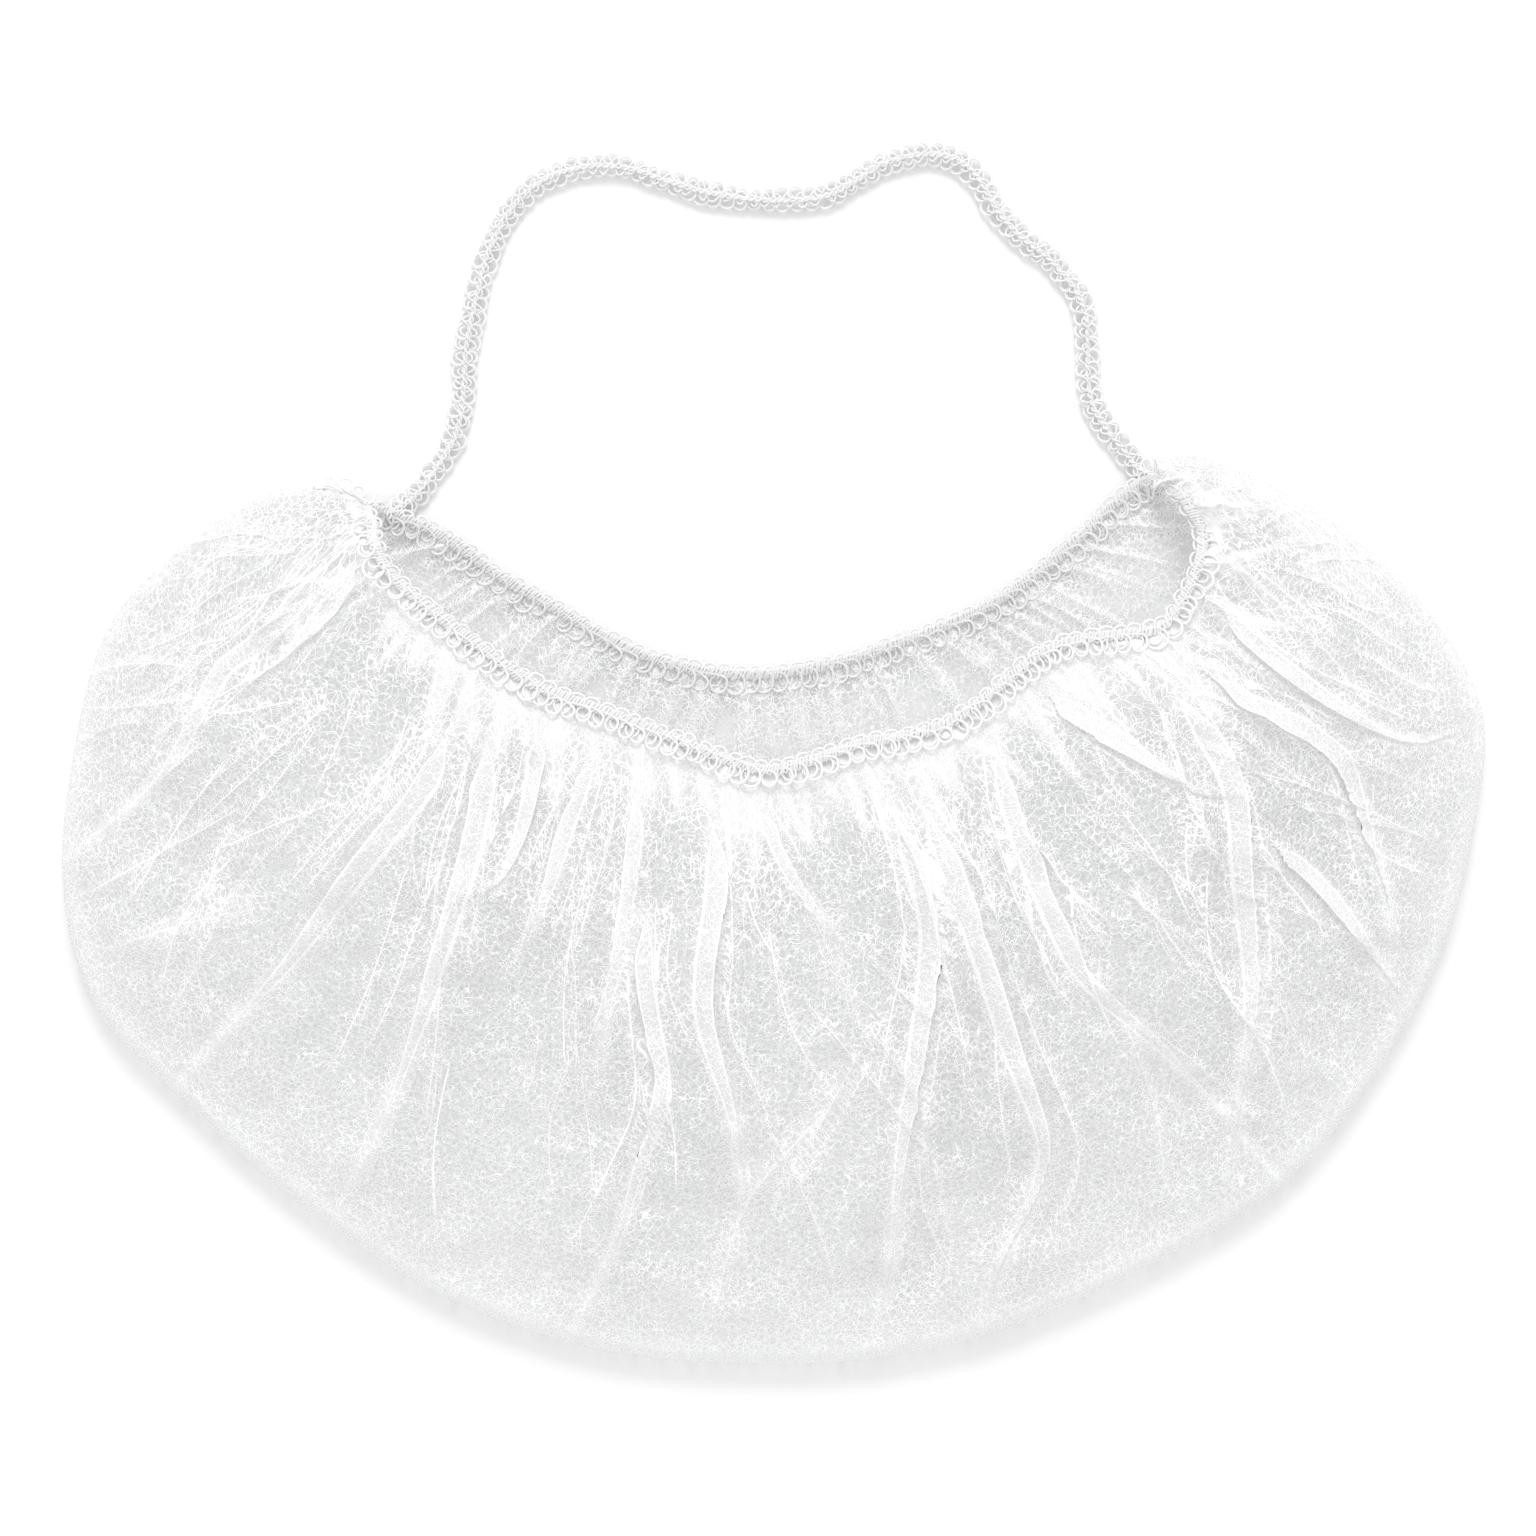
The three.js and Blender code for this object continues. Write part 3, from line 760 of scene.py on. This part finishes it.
layer_shift[~upper_cloth & (along_grid > 0)] += LOWER_SHIFT
outward = plan("fold", section_grid) - plan("upper", section_grid)
outward /= np.maximum(np.linalg.norm(outward, axis=-1), 1e-6)[..., None]
lean = 0.2 + 0.6 * ease(corner, 1.0, 4.0)
fibre_place = cloth_points.copy()
fibre_place[..., :2] -= lean[..., None] * cloth_points[..., 2:] * outward
fibre_place[..., 0] += layer_shift


def make_cloth():
    index = np.arange(section_grid.size).reshape(section_grid.shape)
    quads = np.stack([index[:-1, :-1], index[:-1, 1:], index[1:, 1:], index[1:, :-1]], axis=-1)
    piece, mesh = new_piece("pouch_cloth", cloth_points.reshape(-1, 3).tolist(),
                            quads.reshape(-1, 4).tolist())
    mesh.polygons.foreach_set("use_smooth", [True] * len(mesh.polygons))
    for name, values in (("bunched_and_rim_light", density), ("crease", crease), ("turn_place", turn_place),
                         ("ridge", ridge), ("ridge_place", ridge_place), ("lower", lower_cloth)):
        layer = mesh.attributes.new(name, "FLOAT", "POINT")
        layer.data.foreach_set("value", values.reshape(-1).astype(np.float32))
    layer = mesh.attributes.new("fibre_place", "FLOAT_VECTOR", "POINT")
    layer.data.foreach_set("vector", fibre_place.reshape(-1).astype(np.float32))
    mesh.set_sharp_from_angle(angle=math.radians(SHARP_ANGLE))
    return piece


pouch_cloth = make_cloth()

# %% [markdown]
# The cloth is a felt of curled white fibres with gaps between them. Millions of fibres
# can't be modelled one by one, so the material draws them. A material is a tree of
# nodes, and these few helpers keep the making of one short.

# %% Helpers for materials
def new_material(name):
    material = bpy.data.materials.new(name)
    material.use_nodes = True
    tree = material.node_tree
    tree.nodes.clear()
    return material, tree


def node(tree, kind, **inputs):
    made = tree.nodes.new(kind)
    for key, value in inputs.items():
        made.inputs[key.replace("_", " ")].default_value = value
    return made


def give(tree, socket, value):
    """Sets a socket to a number, or links it to another node's output."""
    if isinstance(value, (int, float, tuple)):
        socket.default_value = value
    else:
        tree.links.new(value, socket)


def math_node(tree, operation, a, b=None):
    made = tree.nodes.new("ShaderNodeMath")
    made.operation = operation
    give(tree, made.inputs[0], a)
    if b is not None:
        give(tree, made.inputs[1], b)
    return made.outputs[0]


def times(tree, a, b):
    return math_node(tree, "MULTIPLY", a, b)


def larger(tree, a, b):
    return math_node(tree, "MAXIMUM", a, b)


def vector_node(tree, operation, a, b):
    made = tree.nodes.new("ShaderNodeVectorMath")
    made.operation = operation
    give(tree, made.inputs[0], a)
    give(tree, made.inputs["Scale" if operation == "SCALE" else 1], b)
    return made.outputs[0]


def step_down(tree, value, start, end):
    """1 where value is under start, 0 over end and a soft step between them."""
    made = node(tree, "ShaderNodeMapRange", To_Min=1.0, To_Max=0.0)
    made.interpolation_type = "SMOOTHSTEP"
    tree.links.new(value, made.inputs["Value"])
    give(tree, made.inputs["From Min"], start)
    give(tree, made.inputs["From Max"], end)
    return made.outputs[0]


def attribute(tree, name, output="Fac"):
    """A value that the mesh carries on each point."""
    made = tree.nodes.new("ShaderNodeAttribute")
    made.attribute_name = name
    return made.outputs[output]


def mixed_shaders(tree, share, first, second):
    made = tree.nodes.new("ShaderNodeMixShader")
    give(tree, made.inputs[0], share)
    tree.links.new(first.outputs[0], made.inputs[1])
    tree.links.new(second.outputs[0], made.inputs[2])
    return made


def show(tree, shader):
    output = tree.nodes.new("ShaderNodeOutputMaterial")
    tree.links.new(shader.outputs[0], output.inputs["Surface"])


# %% [markdown]
# Two kinds of line make the felt. The walls between the cells of a Voronoi pattern are
# thin lines of even width, and a noise that bends the pattern curls them. The lines on
# which a slow noise changes its sign are long loops that cross each other, like single
# fibres. Straight scratches would be simpler, but no fibre in this cloth is straight.

# %% Fibres
NET_CELL = 1.5 * MM
NET_WIDTH = 0.105 * MM
NET_BEND = 1.9 * MM  # how far the noise bends the net
BEND_LENGTH = 1.4 * MM
CURL_LENGTH = 2.5 * MM
CURL_WIDTH = 0.0095  # half the width of such a fibre, in heights of the wave
CLOUD_LENGTH = 7 * MM
SOFT_EDGE = (0.6, 1.4)  # where a fibre starts to fade and where it ends, in half widths


def noise(tree, place, length, detail):
    made = node(tree, "ShaderNodeTexNoise", Scale=1 / length, Detail=detail)
    made.noise_dimensions = "2D"
    tree.links.new(place, made.inputs["Vector"])
    return made


def waves(tree, place, length, detail):
    """Three slow waves over the cloth, from about -0.5 to 0.5."""
    made = noise(tree, place, length, detail)
    return vector_node(tree, "SUBTRACT", made.outputs["Color"], (0.5, 0.5, 0.5))


def thickness(tree, place, cover, below):
    """How thick the fibres are: uneven in clouds, more where the cloth is bunched and where the
    rim's light is painted.
    """
    cloud = noise(tree, place, CLOUD_LENGTH, 0.0)
    thicker = math_node(tree, "ADD", cloud.outputs["Fac"], 0.5)
    thicker = math_node(tree, "ADD", thicker, times(tree, cover, 0.8))
    return math_node(tree, "ADD", thicker, times(tree, below, 0.3))


def soft_edges(tree, half):
    """Where a fibre of some half width starts to fade and where it ends."""
    return [times(tree, half, edge) for edge in SOFT_EDGE]


def fibre_net(tree, place, thicker):
    curl = vector_node(tree, "SCALE", waves(tree, place, BEND_LENGTH, 1.0), NET_BEND)
    cells = node(tree, "ShaderNodeTexVoronoi", Scale=1 / NET_CELL)
    cells.voronoi_dimensions = "2D"
    cells.feature = "DISTANCE_TO_EDGE"
    tree.links.new(vector_node(tree, "ADD", place, curl), cells.inputs["Vector"])
    half = times(tree, thicker, NET_WIDTH / NET_CELL / 2)
    return step_down(tree, cells.outputs["Distance"], *soft_edges(tree, half))


def curled_fibres(tree, place, thicker):
    split = tree.nodes.new("ShaderNodeSeparateXYZ")
    tree.links.new(waves(tree, place, CURL_LENGTH, 0.6), split.inputs[0])
    edges = soft_edges(tree, times(tree, thicker, CURL_WIDTH))
    first, second, third = (step_down(tree, math_node(tree, "ABSOLUTE", axis), *edges)
                            for axis in split.outputs)
    return larger(tree, larger(tree, first, second), third)


# %% [markdown]
# A fold in thin cloth shows as a thin white line, since there the cloth is seen edge
# on. The lines follow the values that the folding left on the points: both turned
# edges of a pleat, the lower edge that shows through the layer over it, and the line
# along each ridge.

# %% White lines of folds
CREASE_LINE = (0.09, 0.19)  # where the line at a turned edge fades, in half widths
UNDER_TURN = 0.826  # where the top layer of a pleat lies over the lower turned edge
UNDER_LINE = (0.012, 0.045)
UNDER_WHITE = 0.8
RIDGE_LINE = (0.10, 0.24)


def line_at(tree, place, middle, fade):
    away = math_node(tree, "ABSOLUTE", math_node(tree, "SUBTRACT", place, middle))
    return step_down(tree, away, *fade)


def fold_lines(tree):
    turn = attribute(tree, "turn_place")
    under = line_at(tree, turn, UNDER_TURN, UNDER_LINE)
    under = times(tree, under, UNDER_WHITE)
    edge = larger(tree, line_at(tree, turn, TURN_LINE, CREASE_LINE), under)
    edge = times(tree, edge, attribute(tree, "crease"))
    low_edge = line_at(tree, attribute(tree, "ridge_place"), 0.0, RIDGE_LINE)
    low_edge = times(tree, low_edge, attribute(tree, "ridge"))
    return larger(tree, edge, low_edge)


# %% [markdown]
# On a fibre the cloth is white and lets some light through. The gaps are open, but for
# a veil of fibres too fine to draw, which is thicker where the cloth is bunched and on
# the rim, where it is partly painted light. What is left of a gap takes a little light
# too, and more in the lower cloth: painted shade that darkens the inside of the mouth.

# %% Cloth material
FIBRE_WHITE = (0.87, 0.873, 0.88, 1)
# whiter tint of bunched cloth and fold lines; on the rim and in the lower cloth it is painted light
BUNCHED_AND_LIT_WHITE = (0.955, 0.957, 0.96, 1)
CLOTH_THROUGH = 0.12  # share of the light that goes on through a fibre
GAP_CLEAR = 0.995  # how much light a gap lets through in the upper cloth
# painted shade: the lower cloth's gaps let less light through, which darkens the inside of the mouth
LOWER_GAP_PAINTED_SHADE = 0.97
LEAST_VEIL = 0.22  # share of a gap that the finest fibres cover
BUNCHED_AND_RIM_LIGHT_VEIL = 0.65  # what bunched cloth and the rim's painted light add to it
STRAND_COVER = 0.97  # share of the light that a fibre stops


def covered(tree, place, cover, below, edge):
    """The share of each spot that fibres cover."""
    thicker = thickness(tree, place, cover, below)
    total = larger(tree, curled_fibres(tree, place, thicker), fibre_net(tree, place, thicker))
    total = times(tree, total, STRAND_COVER)
    veil = times(tree, cover, BUNCHED_AND_RIM_LIGHT_VEIL)
    veil = larger(tree, edge, math_node(tree, "ADD", veil, LEAST_VEIL))
    left_open = times(tree, math_node(tree, "SUBTRACT", 1.0, total),
                      math_node(tree, "SUBTRACT", 1.0, veil))
    return math_node(tree, "SUBTRACT", 1.0, left_open)


def cloth_material():
    material, tree = new_material("spunbond_cloth")
    place = attribute(tree, "fibre_place", "Vector")
    cover, below = attribute(tree, "bunched_and_rim_light"), attribute(tree, "lower")
    edge = fold_lines(tree)
    # painted light: the lower cloth's fibres are tinted whiter against the shade on them
    whiter = larger(tree, cover, times(tree, below, 0.6))
    whiter = larger(tree, edge, times(tree, whiter, 0.35))
    tint = tree.nodes.new("ShaderNodeMix")
    tint.data_type = "RGBA"
    tint.inputs["A"].default_value = FIBRE_WHITE
    tint.inputs["B"].default_value = BUNCHED_AND_LIT_WHITE
    tree.links.new(whiter, tint.inputs["Factor"])
    fibre = node(tree, "ShaderNodeBsdfPrincipled", Roughness=0.8)
    tree.links.new(tint.outputs["Result"], fibre.inputs["Base Color"])
    through = node(tree, "ShaderNodeBsdfTranslucent", Color=FIBRE_WHITE)
    body = mixed_shaders(tree, CLOTH_THROUGH, fibre, through)
    gap = tree.nodes.new("ShaderNodeBsdfTransparent")
    # painted shade: less light goes through the lower cloth's gaps
    clear = node(tree, "ShaderNodeMapRange", To_Min=GAP_CLEAR, To_Max=LOWER_GAP_PAINTED_SHADE)
    tree.links.new(below, clear.inputs["Value"])
    tree.links.new(clear.outputs[0], gap.inputs["Color"])
    show(tree, mixed_shaders(tree, covered(tree, place, cover, below, edge), gap, body))
    print("cloth material", len(tree.nodes), "nodes")
    return material


pouch_cloth.data.materials.append(cloth_material())

# %% [markdown]
# The mouth's elastic is the same overlock, but sewn round the edge of the cloth: long
# loops lie on the cloth side, and short flat ones stand out on the open side. On the
# front edge the cloth is on one side of the elastic and on the back edge on the other,
# so the whole seam twists over as it goes round a corner. At the left corner a short
# tail of the binding runs on along the edge of the cloth.

# %% Mouth elastic
def mouth_line():
    """The closed middle line of the mouth's elastic, along the upper edge and back."""
    section = np.arange(0, LAST_SECTION + 0.01, 0.5)
    upper = np.column_stack([plan("upper", section), edge_height("upper", section)])
    section = section[::-1][1:-1]
    lower = np.column_stack([plan("lower", section), edge_height("lower", section)])
    return np.vstack([upper, lower])


elastic_line = smooth_line(mouth_line(), 0.5 * MM, closed=True)
elastic_line[:, 2] = np.maximum(elastic_line[:, 2], 1.7 * MM)
print("mouth elastic", round(line_frames(elastic_line)[0][-1], 4), "round")


TWIST = 4 * MM  # half the length over which the cloth side changes at a corner
LONG_RING = (1.5 * MM, 1.75 * MM)  # half lengths and half widths
UNDER_RING = (1.3 * MM, 1.4 * MM)
PICOT = (1.2 * MM, 0.7 * MM)
TAIL_RING = (1.27 * MM, 1.1 * MM)
CORE_RADIUS = 0.85 * MM
CORNER_TAIL = [(-76.5 * MM, 76.8 * MM, 4.6 * MM), (-82 * MM, 79.6 * MM, 3.6 * MM),
               (-87.5 * MM, 80.0 * MM, 3.0 * MM)]


def make_mouth_elastic():
    random = np.random.default_rng(23)
    along = line_frames(elastic_line)[0]
    corner = np.append(plan("upper", LAST_SECTION), edge_height("upper", LAST_SECTION))
    corner = along[np.argmin(np.linalg.norm(elastic_line - corner, axis=1))]
    cloth_side = 2 * ease(along, corner - TWIST, corner + TWIST) - 1
    cloth_side *= (ease(along, -TWIST, TWIST)
                   * (1 - ease(along, along[-1] - TWIST, along[-1] + TWIST)))
    slope = 0.55 * ease(elastic_line[:, 2], 3 * MM, EDGE_LIFT)
    long_loops = ring_row(elastic_line, random, 0.93 * STITCH, LONG_RING, 1.65 * MM, 0.4 * MM,
                          cloth_side, height=0.5 * MM, slope=slope)
    under_loops = ring_row(elastic_line, random, 1.13 * STITCH, UNDER_RING, 1.3 * MM, 0.3 * MM,
                           cloth_side, steps=18, height=0.3 * MM, slope=slope)
    picots = ring_row(elastic_line, random, 0.95 * STITCH, PICOT, 0.95 * MM, 0.4 * MM,
                      -cloth_side, steps=20, height=0.2 * MM)
    parts = [tube(long_loops, THREAD, 5), tube(picots, THREAD, 5), tube(under_loops, THREAD, 5),
             tube(elastic_line, CORE_RADIUS, 8)]
    for start in (0.0, 2.1, 4.2):
        wound = binding(elastic_line, random, 0.6 * STITCH, 0.95 * MM, 0.75 * MM, start)
        parts.append(tube(wound, THREAD, 5))
    tail = smooth_line(CORNER_TAIL, 0.5 * MM)
    for side in (-1, 1):
        rings = ring_row(tail, random, 0.9 * STITCH, TAIL_RING, RING_MIDDLE, 0.6 * MM, side)
        parts.append(tube(rings, THREAD, 5))
    return joined_mesh("mouth_overlock", parts)


mouth_elastic = make_mouth_elastic()

# %% [markdown]
# The thread is bulky white polyester: soft, slightly glossy, with fine fuzz that a
# small bump gives it.

# %% Thread material
THREAD_WHITE = (0.975, 0.975, 0.98, 1)
THREAD_GLOW = (0.985, 0.985, 0.99, 1)
THREAD_THROUGH = 0.35  # share of the light that goes on through a thread
FUZZ_SCALE = 4200
FUZZ_HEIGHT = 0.08 * MM


def thread_material():
    material, tree = new_material("overlock_thread")
    surface = node(tree, "ShaderNodeBsdfPrincipled", Base_Color=THREAD_WHITE, Roughness=0.6)
    place = tree.nodes.new("ShaderNodeTexCoord").outputs["Object"]
    twist = node(tree, "ShaderNodeTexNoise", Scale=FUZZ_SCALE, Detail=2.0)
    tree.links.new(place, twist.inputs["Vector"])
    bump = node(tree, "ShaderNodeBump", Strength=0.35, Distance=FUZZ_HEIGHT)
    tree.links.new(twist.outputs[0], bump.inputs["Height"])
    tree.links.new(bump.outputs[0], surface.inputs["Normal"])
    through = node(tree, "ShaderNodeBsdfTranslucent", Color=THREAD_GLOW)
    show(tree, mixed_shaders(tree, THREAD_THROUGH, surface, through))
    return material


thread = thread_material()
head_loop.data.materials.append(thread)
mouth_elastic.data.materials.append(thread)
print("thread material on", head_loop.name, "and", mouth_elastic.name)

# %% [markdown]
# White on white lives from soft shadows. A broad, far light leans from the loop's side
# and an even pale sky gives the rest, so that the table just turns white all over and
# the net's soft shade stays on its near side. Light has to bounce a few times between
# white layers before it's spent, and many open gaps lie behind each other, so both
# kinds of bounce get enough room.

# %% Table and light
FLOOR_SIZE = 3.0
FLOOR_WHITE = (0.87, 0.87, 0.87, 1)
SKY_STRENGTH = 0.955
SUN_STRENGTH = 1.6
SUN_ANGLE = 30  # degrees across, so its shadows are soft
SUN_HEIGHT = 38  # degrees above the table


def make_floor():
    h = FLOOR_SIZE / 2
    corners = [(-h, -h, 0), (h, -h, 0), (h, h, 0), (-h, h, 0)]
    table, mesh = new_piece("table", corners, [(0, 1, 2, 3)])
    material, tree = new_material("pale_table")
    show(tree, node(tree, "ShaderNodeBsdfDiffuse", Color=FLOOR_WHITE))
    mesh.materials.append(material)
    return table


def make_lights():
    world = bpy.data.worlds.new("sky")
    world.use_nodes = True
    background = world.node_tree.nodes["Background"]
    background.inputs["Color"].default_value = (1, 1, 1, 1)
    background.inputs["Strength"].default_value = SKY_STRENGTH
    bpy.context.scene.world = world
    sun_data = bpy.data.lights.new("soft_sun", "SUN")
    sun_data.energy = SUN_STRENGTH
    sun_data.angle = math.radians(SUN_ANGLE)
    sun = bpy.data.objects.new("soft_sun", sun_data)
    sun.rotation_euler = (math.radians(SUN_HEIGHT - 90), 0, 0)
    bpy.context.scene.collection.objects.link(sun)


make_floor()
make_lights()
scene = bpy.context.scene
scene.view_settings.view_transform = "Standard"
scene.cycles.max_bounces = 6
scene.cycles.diffuse_bounces = 4
scene.cycles.transparent_max_bounces = 20
print("sun", SUN_STRENGTH, "at", SUN_HEIGHT, "degrees, sky", SKY_STRENGTH)

# %% [markdown]
# Last, each piece is hung on the root body that it rides on, and the frame's part that
# it stands for is hidden.

for piece, stands_for, finish in (
    (head_loop, "head_loop", "elastic"),
    (mouth_elastic, "mouth_elastic", "elastic"),
    (pouch_cloth, "net_pouch", "cloth"),
):
    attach(piece, "root")
    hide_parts(stands_for)
